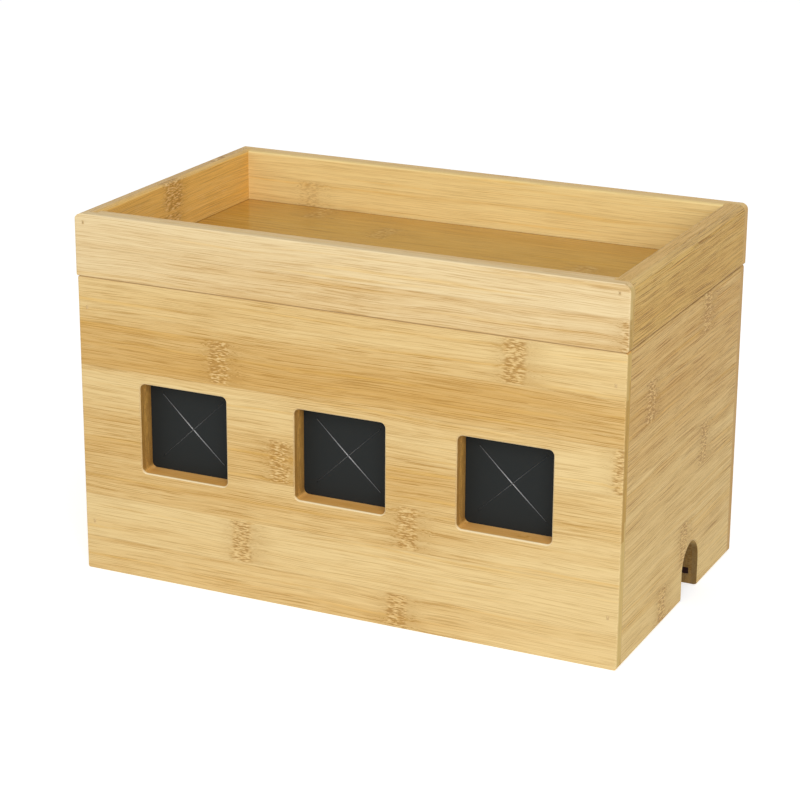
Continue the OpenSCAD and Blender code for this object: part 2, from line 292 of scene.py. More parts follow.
class StageSettings(bpy.types.PropertyGroup):
    """Camera, floor and lamps."""

    camera: FloatVectorProperty(
        name="Camera", description="Place of the camera",
        subtype="TRANSLATION", unit="LENGTH", size=3, default=(0.533286, -1.141195, 0.515643))
    lens: FloatProperty(
        name="Lens", description="Focal length of the camera in millimetres",
        min=20, max=300, default=110.153)
    floor: FloatVectorProperty(
        name="Floor", description="Colour of the floor",
        subtype="COLOR", size=3, min=0, max=1, default=(0.9, 0.9, 0.9))
    lift: FloatProperty(
        name="Floor lift", description="How much whiter than it is lit the floor looks to the camera",
        min=0, max=1, default=0.5)
    key: FloatProperty(
        name="Key lamp", description="Power of the large lamp in front", unit="POWER", min=0, default=36.0)
    fill: FloatProperty(
        name="Fill lamp", description="Power of the lamp at the front left", unit="POWER", min=0, default=8.0)
    sky: FloatProperty(
        name="Room light", description="Strength of the light from all sides", min=0, max=2, default=0.5)


# ---- Shader trees ----


class Tree:
    """A node tree that is written as expressions: each call adds a node and returns its output."""

    def __init__(self, tree):
        self.tree = tree

    def node(self, kind, inputs=(), **settings):
        made = self.tree.nodes.new(kind)
        for name, value in settings.items():
            setattr(made, name, value)
        self.put(made.inputs, dict(inputs))
        return made

    def put(self, sockets, values):
        """Feeds each value to the socket of its name or number."""
        for key, value in values.items():
            self.feed(sockets[key], value)

    def feed(self, socket, value):
        if isinstance(value, bpy.types.NodeSocket):
            self.tree.links.new(value, socket)
        elif isinstance(value, (tuple, list, Color, Vector)) and len(value) == 3 and socket.type == "RGBA":
            socket.default_value = (*value, 1.0)
        else:
            socket.default_value = value

    def math(self, operation, first, second=0.0, third=None, clamp=False):
        inputs = {0: first, 1: second}
        if third is not None:
            inputs[2] = third
        return self.node("ShaderNodeMath", inputs, operation=operation, use_clamp=clamp).outputs[0]

    def plus(self, first, second):
        return self.math("ADD", first, second)

    def minus(self, first, second):
        return self.math("SUBTRACT", first, second)

    def times(self, first, second):
        return self.math("MULTIPLY", first, second)

    def over(self, first, second):
        return self.math("DIVIDE", first, second)

    def times_plus(self, first, second, third, clamp=False):
        return self.math("MULTIPLY_ADD", first, second, third, clamp)

    def size(self, value):
        return self.math("ABSOLUTE", value)

    def from_edge(self, share):
        """How far a share from 0 to 1 is from the nearer of the two."""
        return self.math("PINGPONG", share, 0.5)

    def smooth(self, value, low, high, at_low=0.0, at_high=1.0):
        """A soft step from at_low, where value is low, to at_high, where it is high."""
        inputs = {"Value": value, "From Min": low, "From Max": high, "To Min": at_low, "To Max": at_high}
        return self.node("ShaderNodeMapRange", inputs, interpolation_type="SMOOTHSTEP").outputs["Result"]

    def mix(self, factor, first, second, blend="MIX"):
        inputs = {0: factor, 6: first, 7: second}
        return self.node("ShaderNodeMix", inputs, data_type="RGBA", blend_type=blend).outputs[2]

    def vector(self, x, y, z):
        return self.node("ShaderNodeCombineXYZ", {0: x, 1: y, 2: z}).outputs[0]

    def split(self, vector):
        return self.node("ShaderNodeSeparateXYZ", {0: vector}).outputs

    def scaled(self, vector, factor):
        return self.node("ShaderNodeVectorMath", {0: vector, "Scale": factor}, operation="SCALE").outputs[0]

    def noise(self, vector, detail=2.0, rough=0.5, distort=0.0):
        inputs = {"Vector": vector, "Scale": 1.0, "Detail": detail, "Roughness": rough, "Distortion": distort}
        return self.node("ShaderNodeTexNoise", inputs).outputs["Fac"]

    def group(self, title, build, **inputs):
        """Places a shader group, which is built the first time, and returns its outputs."""
        placed = self.node("ShaderNodeGroup", node_tree=bpy.data.node_groups.get(title) or build())
        self.put(placed.inputs, inputs)
        return placed.outputs

    def relief(self, height, strength, depth):
        """The normal of a relief, whose depth is in metres at full strength."""
        inputs = {"Height": height, "Strength": strength, "Distance": depth}
        return self.node("ShaderNodeBump", inputs).outputs[0]

    def finish(self, colour, rough, shine=0.5, metal=0.0, **more):
        """Ends a material in its shader."""
        inputs = {"Base Color": colour, "Roughness": rough, "Specular IOR Level": shine, "Metallic": metal}
        shader = self.node("ShaderNodeBsdfPrincipled", {**inputs, **more})
        self.node("ShaderNodeOutputMaterial", {"Surface": shader.outputs[0]})


def new_material(name):
    """An empty material and the writer of its tree."""
    material = bpy.data.materials.new(name)
    material.use_nodes = True
    material.node_tree.nodes.clear()
    return material, Tree(material.node_tree)


def new_group(name, inputs, outputs):
    """An empty shader group with a vector called Place and these values, its tree, its inputs and outputs."""
    group = bpy.data.node_groups.new(name, "ShaderNodeTree")
    group.interface.new_socket(name="Place", in_out="INPUT", socket_type="NodeSocketVector")
    for way, sockets in (("INPUT", inputs), ("OUTPUT", outputs)):
        for socket in sockets:
            group.interface.new_socket(name=socket, in_out=way, socket_type="NodeSocketFloat")
    tree = Tree(group)
    return group, tree, tree.node("NodeGroupInput").outputs, tree.node("NodeGroupOutput").inputs


def strips_group():
    """Finds which glued strip a point of a board lies in.

    Place is in millimetres along the grain, across the strips and into the board. Row tells the strip and
    Course the way across the board, both from 0 to 1 over Rows strips; Share is how far across its own strip
    the point is, Level counts the layers, and Line marks the glue lines."""
    group, tree, given, made = new_group(
        "Glued strips", ("Strip", "Layer", "Rows"), ("Row", "Course", "Share", "Level", "Line"))
    along, across, deep = tree.split(given["Place"])
    layers = tree.over(tree.plus(deep, 0.01), given["Layer"])
    level = tree.math("FLOOR", layers)
    course = tree.over(tree.times_plus(level, LAYER_SHIFT, across), given["Strip"])
    share = tree.math("FRACT", course)
    whole = tree.math("FLOORED_MODULO", tree.math("FLOOR", course), given["Rows"])
    from_strip = tree.times(tree.from_edge(share), given["Strip"])
    from_layer = tree.times(tree.from_edge(tree.math("FRACT", layers)), given["Layer"])
    patches = tree.noise(tree.vector(tree.times(along, 0.03), whole, level), 3.0, 0.6)
    inside = tree.minus(1.0, tree.math("COMPARE", deep, 0.0, 0.6))
    strip_line = tree.times(tree.smooth(from_strip, 0.08, 0.4, 1.0, 0.0), tree.smooth(patches, 0.35, 0.62))
    layer_line = tree.times(tree.smooth(from_layer, 0.04, 0.22, 0.6, 0.0), inside)
    tree.put(made, {
        "Row": tree.over(tree.plus(whole, 0.5), given["Rows"]),
        "Course": tree.over(course, given["Rows"]),
        "Share": share,
        "Level": level,
        "Line": tree.math("MAXIMUM", strip_line, layer_line)})
    return group


def fibres_group():
    """Fibre streaks along the grain.

    Fine is for single fibres, Broad for bundles of them, Band for the widest drifts of colour, Dash for dark
    bundles and Fleck for short pale ones."""
    group, tree, given, made = new_group(
        "Bamboo fibres", ("Width", "Swirl", "Seed"), ("Fine", "Broad", "Band", "Dash", "Fleck"))
    along, across, deep = tree.split(given["Place"])

    def wander(along_scale, across_scale, detail, reach):
        """How far aside the fibres wander, over a noise of these scales."""
        place = tree.vector(tree.times(along, along_scale), tree.times(across, across_scale), given["Seed"])
        return tree.times(tree.minus(tree.noise(place, detail), 0.5), reach)

    drift = wander(0.012, 0.03, 1.0, 4.0)
    curl = wander(0.2, 0.5, 2.0, given["Swirl"])
    bent = tree.plus(across, tree.plus(drift, curl))
    seed = tree.times(given["Seed"], 17.3)

    def streaks(length, widths, detail, rough):
        """Noise drawn out along the grain, length millimetres long and so many fibre widths wide."""
        wide = tree.times(given["Width"], widths)
        start = tree.plus(tree.over(along, length), seed)
        return tree.noise(tree.vector(start, tree.over(bent, wide), tree.over(deep, wide)), detail, rough)

    tree.put(made, {
        "Fine": streaks(60.0, 1.25, 3.0, 0.75),
        "Broad": streaks(170.0, 7.0, 2.0, 0.5),
        "Band": streaks(230.0, 24.0, 2.0, 0.5),
        "Dash": tree.smooth(streaks(44.0, 0.95, 2.0, 0.6), 0.54, 0.59),
        "Fleck": tree.smooth(streaks(14.0, 1.2, 2.0, 0.5), 0.56, 0.68)})
    return group


def knuckle_group():
    """The mark of a culm's joint: Halo round it, Core for the mark itself, and its Dark and Light dashes.
    Offset is the way along the grain to it."""
    group, tree, given, made = new_group(
        "Bamboo knuckle", ("Offset", "Length", "Share", "Seed"), ("Halo", "Core", "Dark", "Light"))
    along, across, deep = tree.split(given["Place"])
    ragged_place = tree.vector(tree.times(along, 0.08), tree.times(across, 0.4), given["Seed"])
    ragged = tree.times(tree.minus(tree.noise(ragged_place, 3.0, 0.6), 0.5), 7.0)
    away = tree.size(tree.plus(given["Offset"], ragged))
    half = tree.times(given["Length"], 0.5)
    core = tree.smooth(away, tree.times(half, 0.6), tree.times(half, 1.25), 1.0, 0.0)
    in_strip = tree.smooth(tree.from_edge(given["Share"]), 0.0, 0.06)
    reach = tree.smooth(tree.size(tree.plus(given["Offset"], -2.0)), 4.0, 20.0, 1.0, 0.0)
    speck_place = tree.vector(
        tree.times(along, 0.32), tree.times(across, 1.4), tree.times_plus(deep, 0.3, given["Seed"]))
    speck = tree.noise(speck_place, 1.5, 0.5, 0.25)
    strong = tree.times(core, in_strip)
    tree.put(made, {
        "Halo": tree.times(reach, in_strip),
        "Core": strong,
        "Dark": tree.times(strong, tree.smooth(speck, 0.5, 0.57)),
        "Light": tree.times(strong, tree.smooth(speck, 0.46, 0.38))})
    return group


def end_grain_group():
    """Cut fibre ends: Dots for single ends and Patch for the warm and the olive parts of a strip's end."""
    group, tree, given, made = new_group("Bamboo end grain", ("Width", "Seed"), ("Dots", "Patch"))
    _, across, deep = tree.split(given["Place"])
    width, seed = given["Width"], given["Seed"]
    dots_place = tree.vector(tree.over(across, width), tree.over(deep, width), seed)
    patch_place = tree.vector(tree.times(across, 0.11), tree.times(deep, 0.5), seed)
    tree.put(made, {
        "Dots": tree.smooth(tree.noise(dots_place, 2.0, 0.6), 0.5, 0.62),
        "Patch": tree.smooth(tree.noise(patch_place, 2.5, 0.55, 1.2), 0.42, 0.58)})
    return group


def lookup(tree, factor, places, colours, interpolation):
    """The red, green and blue of a colour ramp with a stop at each place, in rising order."""
    node = tree.node("ShaderNodeValToRGB", {"Fac": factor})
    ramp = node.color_ramp
    ramp.interpolation = interpolation
    ramp.elements[0].position = places[0]
    ramp.elements[1].position = places[1]
    for place in places[2:]:
        ramp.elements.new(place)
    for stop, colour in zip(ramp.elements, colours):
        stop.color = (*colour, 1.0)
    return tree.node("ShaderNodeSeparateColor", {0: node.outputs["Color"]}).outputs


def strip_values(tree, row, course, strips):
    """Looks up the tone at a point, which drifts from strip to strip, its own strip's knuckle's place and how
    pale that strip's ends are."""
    count = len(strips)
    colours = [(tone, place / HALF_REACH / 2 + 0.5, end) for tone, place, end in strips]
    starts = [number / count for number in range(count)]
    centres = [(number + 0.5) / count for number in range(count)]
    own, place, end = lookup(tree, row, starts, colours, "CONSTANT")
    drifting = lookup(tree, course, centres, colours, "EASE")[0]
    tone = tree.times_plus(tree.minus(own, drifting), 0.35, drifting)
    return tone, tree.times(tree.minus(place, 0.5), 2 * HALF_REACH), end


# ---- Bamboo ----


class Bamboo:
    """The procedural bamboo of one board, with lengths in millimetres. Its steps lay colours over each other,
    from the strips' own colour to the painted shade in the seam and the tray's corners."""

    def __init__(self, name, board, looks):
        self.board, self.looks = board, looks
        self.low, self.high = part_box(name)
        self.material, self.tree = new_material("bamboo_" + name)
        self.pale = tinted(looks.pale, board.tint)
        self.find_place()
        self.find_grain(float(sum(ord(letter) for letter in name) % 97) + 0.5)

    def axis(self, axis):
        """The coordinate along an axis such as X or -Z."""
        return self.tree.times(self.parts[axis_number(axis)], axis_sign(axis) / MM)

    def from_side(self, axis, outside=0.0):
        """The way along an axis such as X or -Z, from as far outside the board's side where it starts."""
        side = self.high if axis_sign(axis) < 0 else self.low
        start = axis_sign(axis) * side[axis_number(axis)] / MM - outside
        return self.tree.minus(self.axis(axis), start)

    def find_place(self):
        """Where a point lies in the board, and which way its surface faces."""
        tree, board = self.tree, self.board
        spot = tree.node("ShaderNodeTexCoord")
        self.parts = tree.split(spot.outputs["Object"])
        self.normal = tree.split(spot.outputs["Normal"])
        self.along = self.axis(board.along)
        self.deep = self.from_side(board.deep)
        self.place = tree.vector(self.along, self.from_side(board.across, board.outside), self.deep)
        half_length = (self.high - self.low)[axis_number(board.along)] / MM / 2
        self.to_end = tree.minus(half_length, tree.size(self.along))
        self.near_face = tree.smooth(self.deep, 2.0, 5.0, 1.0, 0.0)
        self.end_facing = tree.smooth(tree.size(self.normal[axis_number(board.along)]), 0.6, 0.95)
        self.flat_facing = tree.size(self.normal[axis_number(board.deep)])

    def find_grain(self, seed):
        """Which strip a point lies in, how far its knuckle is, and the fibres there."""
        tree, board, looks = self.tree, self.board, self.looks
        strips = tree.group(
            "Glued strips", strips_group, Place=self.place, Strip=looks.strip_width / MM,
            Layer=looks.layer / MM, Rows=float(len(board.strips)))
        self.line = strips["Line"]
        self.tone, knuckle_at, self.end_pale = strip_values(
            tree, strips["Row"], strips["Course"], board.strips)
        knuckle_at = tree.times_plus(strips["Level"], LAYER_KNUCKLE_SHIFT, knuckle_at)
        self.seed = tree.times_plus(strips["Row"], 31.0, seed)
        self.knuckle = tree.group(
            "Bamboo knuckle", knuckle_group, Place=self.place, Offset=tree.minus(self.along, knuckle_at),
            Length=looks.knuckle_length / MM * board.stretch, Share=strips["Share"], Seed=self.seed)
        self.fibres = tree.group(
            "Bamboo fibres", fibres_group, Place=self.place, Seed=self.seed,
            Width=looks.fibre_width / MM * (SIDE_FIBRE if board.jointed else 1.0),
            Swirl=tree.smooth(self.knuckle["Halo"], 0.0, 1.0, 0.3, 4.5))

    def lay(self, factor, paint, blend="MIX"):
        """Mixes a paint over the colour so far."""
        self.colour = self.tree.mix(factor, self.colour, paint, blend)

    def lay_strips(self):
        """The strips' own colour, with its drifts and warm streaks."""
        tree, board, looks = self.tree, self.board, self.looks
        fade_from, fade_to, paler = board.fade
        tone = tree.plus(self.tone, tree.smooth(self.along, fade_from, fade_to, 0.0, -paler))
        shade = tree.plus(tree.minus(self.fibres["Band"], 0.5), tone)
        self.shade = tree.times_plus(tree.minus(self.fibres["Broad"], 0.5), 0.65, shade, clamp=True)
        self.colour = tree.mix(self.shade, looks.pale, looks.tan)
        warm = tree.smooth(self.fibres["Broad"], 0.56, 0.72, 0.0, 0.3)
        self.lay(tree.math("MINIMUM", tree.times_plus(self.near_face, board.amber, warm), 1.0), looks.amber)
        # the tint, which on the lid's rear and left rails is also painted light
        self.lay(self.near_face, board.tint, "MULTIPLY")

    def lay_fibres(self):
        """Thin and dark fibres and pale flecks, the darker strips having more of the dark ones."""
        tree, vivid, shade = self.tree, self.board.vivid, self.shade
        ink = tinted(self.looks.fibre, self.board.tint, self.board.ink)
        busy = 0.8 + 0.4 * vivid
        self.thin = tree.smooth(self.fibres["Fine"], 0.38, 0.56, 1.0, 0.0)
        thin_share = tree.smooth(shade, 0.1, 0.9, 0.18 * busy, 0.34 * busy)
        dash_share = tree.smooth(shade, 0.0, 0.55, 0.55 * vivid, 1.1 * vivid)
        self.lay(tree.times(self.thin, thin_share), ink)
        self.lay(tree.times(self.fibres["Dash"], dash_share), ink)
        self.lay(tree.times(self.fibres["Fleck"], tree.smooth(shade, 0.2, 0.8, 0.5, 0.12)), self.pale)

    def lay_knuckles(self):
        """The marks that the culm's joints left."""
        looks = self.looks
        paints = {
            "Halo": (0.22, looks.fibre), "Core": (0.28, looks.tan), "Dark": (0.66, looks.knuckle),
            "Light": (0.72, self.pale),
        }
        for part, (share, paint) in paints.items():
            self.lay(self.tree.times(self.knuckle[part], share * self.board.mark), paint)

    def lay_joints(self):
        """Glue lines, the lines where a jointed board's ends butt, the amber of cut edges, and painted light
        that makes the windows' sills lighter.
        """
        tree, board, looks = self.tree, self.board, self.looks
        if board.jointed:
            self.line = tree.math("MAXIMUM", self.line, tree.smooth(self.to_end, 0.15, 0.45, 1.7, 0.0))
            self.lay(tree.smooth(self.to_end, 0.4, 1.2, 0.12, 0.0), looks.worn_and_highlight)
        self.lay(tree.times(self.line, 0.34), looks.knuckle)
        self.lay(tree.smooth(self.flat_facing, 0.05, 0.3, board.cut_amber, 0.0), looks.amber)
        if board.pierced:
            self.sill_facing = tree.smooth(self.normal[2], 0.2, 0.8)
            # painted light on the upward-facing sills
            self.lay(self.sill_facing, SILL_PAINTED_LIGHT, "MULTIPLY")

    def lay_ends(self):
        """The cut ends of the strips, darker in the outer layer and paler at the board's own end, with
        painted shade inside the windows that darkens them towards the rubber.
        """
        tree, looks = self.tree, self.looks
        ends = tree.group(
            "Bamboo end grain", end_grain_group, Place=self.place, Seed=self.seed,
            Width=looks.fibre_width / MM)
        outer_layer = tree.smooth(self.deep, 3.2, 4.2, 1.0, 0.0)
        at_end = tree.smooth(self.to_end, 1.0, 4.0, 1.0, 0.0)
        grain = tree.mix(tree.smooth(ends["Patch"], 0.0, 1.0, 0.0, 0.7), looks.end_grain, looks.tan)
        grain = tree.mix(tree.times(outer_layer, 0.5), grain, looks.grime)
        grain = tree.mix(tree.times(ends["Dots"], 0.4), grain, looks.grime)
        grain = tree.mix(tree.smooth(self.to_end, 1.0, 4.0, 0.5, 0.0), grain, looks.tan)
        grain = tree.mix(tree.times(self.end_pale, at_end), grain, looks.pale)
        grain = tree.mix(1.0, grain, self.board.end_tint, "MULTIPLY")
        if self.board.pierced:
            in_window = tree.smooth(self.to_end, 4.0, 8.0)
            grain = tree.mix(in_window, grain, CHEEK_TINT, "MULTIPLY")
            # painted shade: inside a window the end grain darkens towards the rubber, where shade falls
            shaded = tree.times(in_window, tree.smooth(self.deep, 4.5, 10.5, 0.0, 0.6))
            grain = tree.mix(shaded, grain, looks.grime)
        self.lay(tree.times(self.end_facing, 0.8), grain)

    def lay_wear_and_highlights(self):
        """Pale eased edges, partly wear and partly painted highlight; round the windows the painted highlight
        lies mostly on the sills' edges and is weaker on edges that face right.
        """
        tree, edge_pale = self.tree, self.board.edge_pale
        eased = tree.times(tree.smooth(self.flat_facing, 0.1, 0.4), tree.smooth(self.flat_facing, 0.97, 0.86))
        worn_and_highlight = tree.times(eased, tree.smooth(self.to_end, 0.9, 1.8, 0.4 * edge_pale, edge_pale))
        if self.board.pierced:
            sill_highlight = tree.times(self.sill_facing, tree.smooth(self.deep, 0.8, 1.4, 1.0, 0.0))
            below_lid = tree.smooth(self.axis("Z"), 120.0, 140.0, 1.0, 0.0)
            # painted highlight: weaker on edges that face right, and added on the sills' front edges below
            # the lid
            worn_and_highlight = tree.times(worn_and_highlight, tree.smooth(self.normal[0], 0.05, 0.5, 1.0, 0.3))
            worn_and_highlight = tree.math("MAXIMUM", worn_and_highlight, tree.times(sill_highlight, below_lid))
        self.lay(worn_and_highlight, self.looks.worn_and_highlight)

    def lay_grime(self):
        """Painted shade in the dark depths: the seam between lid and box, deeper towards the rear on the side
        boards, and the corner between the tray and its rails.
        """
        tree, looks = self.tree, self.looks
        if self.board.across == "-Z":
            self.from_seam = tree.size(tree.minus(self.axis("Z"), SEAM))
            # painted shade in the seam, first in the knuckle colour and then in the dark colour, deeper
            # towards the rear on the side boards
            depth = tree.smooth(self.along, -60.0, 90.0, 0.3, 0.85) if self.board.along == "Y" else 0.0
            self.lay(tree.smooth(self.from_seam, 0.1, 0.7, 0.7, 0.0), looks.knuckle)
            self.lay(tree.smooth(self.from_seam, 0.1, 0.6, depth, 0.0), looks.grime)
        if self.board.satin:
            # painted shade in the corner where the tray floor meets the rails
            from_x = tree.minus(TRAY[0], tree.size(self.along))
            from_y = tree.minus(TRAY[1], tree.size(self.axis("Y")))
            self.lay(tree.smooth(tree.math("MINIMUM", from_x, from_y), 0.3, 2.2, 0.55, 0.0), looks.grime)

    def finish(self):
        """Roughness, relief and the shader."""
        tree, board, looks = self.tree, self.board, self.looks
        gloss, shine, depth = (looks.satin, 0.5, 0.02) if board.satin else (looks.gloss, 0.22, 0.09)
        rough = tree.times_plus(self.thin, 0.08, tree.smooth(self.near_face, 0.0, 1.0, looks.gloss, gloss))
        rough = tree.times_plus(self.end_facing, 0.12, rough)
        if board.across == "-Z":
            rough = tree.smooth(self.from_seam, 0.3, 0.9, 0.95, rough)
        height = tree.times_plus(self.knuckle["Dark"], -0.4, self.fibres["Fine"])
        height = tree.times_plus(self.line, -0.5, height)
        tree.finish(self.colour, rough, shine, Normal=tree.relief(height, 0.25, depth * MM))


def bamboo(name, looks):
    """The finish of one board."""
    made = Bamboo(name, BOARDS[name], looks)
    made.lay_strips()
    made.lay_fibres()
    made.lay_knuckles()
    made.lay_joints()
    made.lay_ends()
    made.lay_wear_and_highlights()
    made.lay_grime()
    made.finish()
    return made.material


# ---- Other materials ----


def rubber(looks):
    """Black moulded rubber, smooth and evenly dusty, with a painted highlight along its cut edges that also
    stands for the paler cut rubber.
    """
    material, tree = new_material("slit_rubber")
    cut = tree.node("ShaderNodeAttribute", attribute_name="cut").outputs["Fac"]
    dusty = tuple(own + (dust - own) * looks.dusty for own, dust in zip(looks.colour, looks.bloom))
    # painted highlight on the cut edges, from the points' cut marks
    tree.finish(tree.mix(cut, dusty, looks.cut_highlight), looks.rough, 0.08)
    return material


def dark_board():
    """Nearly black fibreboard: a dull face with fine flecks, browner at its cut edges."""
    material, tree = new_material("dark_fibreboard")
    spot = tree.node("ShaderNodeTexCoord").outputs
    flecks = tree.noise(tree.scaled(spot["Object"], 700.0), 4.0, 0.7)
    clouds = tree.noise(tree.scaled(spot["Object"], 40.0), 2.0, 0.5)
    edge = tree.smooth(tree.size(tree.split(spot["Normal"])[2]), 0.3, 0.8, 1.0, 0.0)
    colour = tree.mix(tree.smooth(flecks, 0.35, 0.75), linear("120605"), linear("24100D"))
    colour = tree.mix(tree.times(clouds, 0.35), colour, linear("180A08"))
    colour = tree.mix(tree.times(edge, 0.25), colour, linear("3A1810"))
    rough = tree.smooth(flecks, 0.3, 0.7, 0.6, 0.78)
    tree.finish(colour, rough, 0.15, Normal=tree.relief(flecks, 0.3, 0.1 * MM))
    return material


def brad_steel():
    """Dull steel wire, dark in the head's scratches."""
    material, tree = new_material("brad_wire")
    spot = tree.node("ShaderNodeTexCoord").outputs["Object"]
    scratches = tree.noise(tree.scaled(spot, 2200.0), 3.0, 0.6)
    tarnish = tree.noise(tree.scaled(spot, 500.0), 2.0, 0.5)
    colour = tree.mix(tree.smooth(tarnish, 0.35, 0.65), linear("3A3027"), linear("6A5B4A"))
    rough = tree.smooth(scratches, 0.3, 0.7, 0.38, 0.62)
    tree.finish(colour, rough, metal=0.8, Normal=tree.relief(scratches, 0.3, 0.04 * MM))
    return material


def putty(looks):
    """Wood filler: a little darker than the bamboo, with a dark middle where the brad shows through."""
    material, tree = new_material("wood_putty")
    middle = tree.node("ShaderNodeAttribute", attribute_name="middle").outputs["Fac"]
    spot = tree.node("ShaderNodeTexCoord").outputs["Object"]
    grain = tree.noise(tree.scaled(spot, 3000.0), 3.0, 0.6)
    colour = tree.mix(tree.smooth(grain, 0.3, 0.7, 0.1, 0.5), looks.pale, looks.fibre)
    colour = tree.mix(tree.times(middle, 0.55), colour, linear("8C7458"))
    rough = tree.smooth(grain, 0.3, 0.7, 0.6, 0.75)
    tree.finish(colour, rough, 0.2, Normal=tree.relief(grain, 0.3, 0.05 * MM))
    return material


# ---- Pieces of the frame ----


def dress(node, material):
    """Gives a node of the frame its finish."""
    thing = frame["nodes"][node]
    thing.data.materials.clear()
    thing.data.materials.append(material)
    return thing


def ease_edges(thing, name, width):
    """Rounds a piece's edges by so many millimetres."""
    ease = thing.modifiers.new(name, "BEVEL")
    ease.width = width * MM
    ease.segments = 2
    return ease


def sand_edges(thing):
    """Rounds a sawn piece's sharp edges a little, as sandpaper does."""
    weld = thing.modifiers.new("Joined corners", "WELD")
    weld.merge_threshold = 0.001 * MM
    ease = ease_edges(thing, "Sanded edges", 0.4)
    ease.limit_method = "ANGLE"
    ease.angle_limit = math.radians(40)


def mesh_from(maker, name):
    """Turns what was built into a smooth-shaded mesh."""
    mesh = bpy.data.meshes.new(name)
    maker.to_mesh(mesh)
    maker.free()
    mesh.shade_smooth()
    return mesh


def mark_points(mesh, name, marks):
    """Keeps a number for each point as an attribute that a material reads."""
    kept = mesh.attributes.new(name, "FLOAT", "POINT")
    kept.data.foreach_set("value", marks)


def add_object(name, data):
    """Puts a new object of this mesh, lamp or camera in the scene."""
    thing = bpy.data.objects.new(name, data)
    bpy.context.scene.collection.objects.link(thing)
    return thing


def stitch(maker, rings):
    """Joins each ring of vertices to the next with quads."""
    for first, second in zip(rings, rings[1:]):
        for place in range(len(first)):
            after = (place + 1) % len(first)
            maker.faces.new((first[place], first[after], second[after], second[place]))


def close_tube(maker, rings):
    """Joins the rings into a tube and closes its two ends."""
    stitch(maker, rings)
    maker.faces.new(reversed(rings[0]))
    maker.faces.new(rings[-1])


# ---- Rubber windows ----

SIDE_POINTS = 24  # points along each side of a rubber sheet's outlines
SHEET_RINGS = (0.0, 0.25, 0.5, 0.75, 1.0)  # rings over a sheet's face, as shares from its hole to its edge
SHEET_EDGE_HIGHLIGHT = 0.03  # how much painted highlight a sheet's outer edge has, beside the cuts
CUT_HIGHLIGHT = (0.8, 1.0, 0.8, 0.0, 0.0, 0.0)  # painted highlight on the points round a cut edge, from front to back
ROOT_HIGHLIGHT = 0.22  # painted highlight of a cut at its end, beside the window's middle


def window_place(window):
    """The middle of a window's rubber sheet in the frame, and half its size."""
    low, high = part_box(window + "_membrane")
    return (low + high) / 2, (high - low) / 2


def rubber_object(maker, name, cut_highlights, centre, turn, finish):
    """Makes an object of what was built for the top of a window at the origin, and turns and moves it to its
    own place. Cut highlights says how much painted highlight each of its points has where the rubber was cut."""
    mesh = mesh_from(maker, name)
    mesh.transform(Matrix.Translation(centre) @ turn)
    mark_points(mesh, "cut", cut_highlights)
    mesh.set_sharp_from_angle(angle=math.radians(50))
    mesh.materials.append(finish)
    return add_object(name, mesh)


def flap_section(looks, wide, slit_highlight):
    """Points round a level slice through a flap, from its front left corner, and how much painted highlight
    each one has.
    Slit highlight is how bright the painted highlight at the front of the cut is at the left and at the
    right."""
    half, radius, columns = looks.sheet / 2, looks.edge, looks.columns
    corner = min(radius, wide * 0.6)
    turns = [math.radians(angle) for angle in (30, 60, 90)]
    inner = wide - corner
    face = [(inner * (2 * column / columns - 1), -half) for column in range(columns + 1)]
    edge = [(inner + corner * math.sin(turn), -half + radius * (1 - math.cos(turn))) for turn in turns]
    edge += [(x, -y) for x, y in reversed(edge)]
    side = face + edge
    around = side + [(-x, -y) for x, y in side]
    right = [0.0] * len(face) + [slit_highlight[1] * share for share in CUT_HIGHLIGHT]
    left = [0.0] * len(face) + [slit_highlight[0] * share for share in reversed(CUT_HIGHLIGHT)]
    return around, right + left


def flap_bmesh(looks, half_root, rise, proud, slit_highlight):
    """A tongue of rubber that hangs from z = rise + root_set, where it bends, to its tip over the origin."""
    root = rise + looks.root_set
    slope = rise / half_root
    tip = looks.slit / 2 * math.hypot(1, slope)
    lowest = tip + 0.9 * looks.edge
    maker = bmesh.new()
    rings, cut_highlights = [], []
    for row in range(looks.rows + 1):
        z = max(root * (1 - row / looks.rows), lowest)
        share = (root - z) / root
        bulge = proud * share * share * (3 - 2 * share)
        around, marks = flap_section(looks, min(half_root, (z - tip) / slope), slit_highlight)
        rings.append([maker.verts.new((x, y - bulge, z)) for x, y in around])
        # painted highlight along the cut, weaker towards the slit's ends and none where the flap is not cut
        pale = ROOT_HIGHLIGHT + (1 - ROOT_HIGHLIGHT) * share * share if z < rise else 0.0
        cut_highlights.extend(mark * pale for mark in marks)
    close_tube(maker, rings)
    bmesh.ops.recalc_face_normals(maker, faces=maker.faces)
    return maker, cut_highlights


def around_window(side):
    """Points round a window, clockwise from the left of its top. Side(upright, step) gives a point of its
    top or bottom, where upright is true, or else of a side that was turned to the top."""
    points = []
    for quarter in range(4):
        for step in range(SIDE_POINTS):
            x, z = side(quarter % 2 == 0, step)
            for _ in range(quarter):
                x, z = z, -x
            points.append((x, z))
    return points


def sheet_outline(half_x, half_z, radius):
    """Points round a rounded rectangle."""

    def side(upright, step):
        wide, high = (half_x, half_z) if upright else (half_z, half_x)
        x, straight = (2 * step / SIDE_POINTS - 1) * wide, wide - radius
        if abs(x) <= straight:
            return x, high
        angle = (abs(x) - straight) / radius * math.pi / 4
        return math.copysign(straight + radius * math.sin(angle), x), high - radius + radius * math.cos(angle)

    return around_window(side)


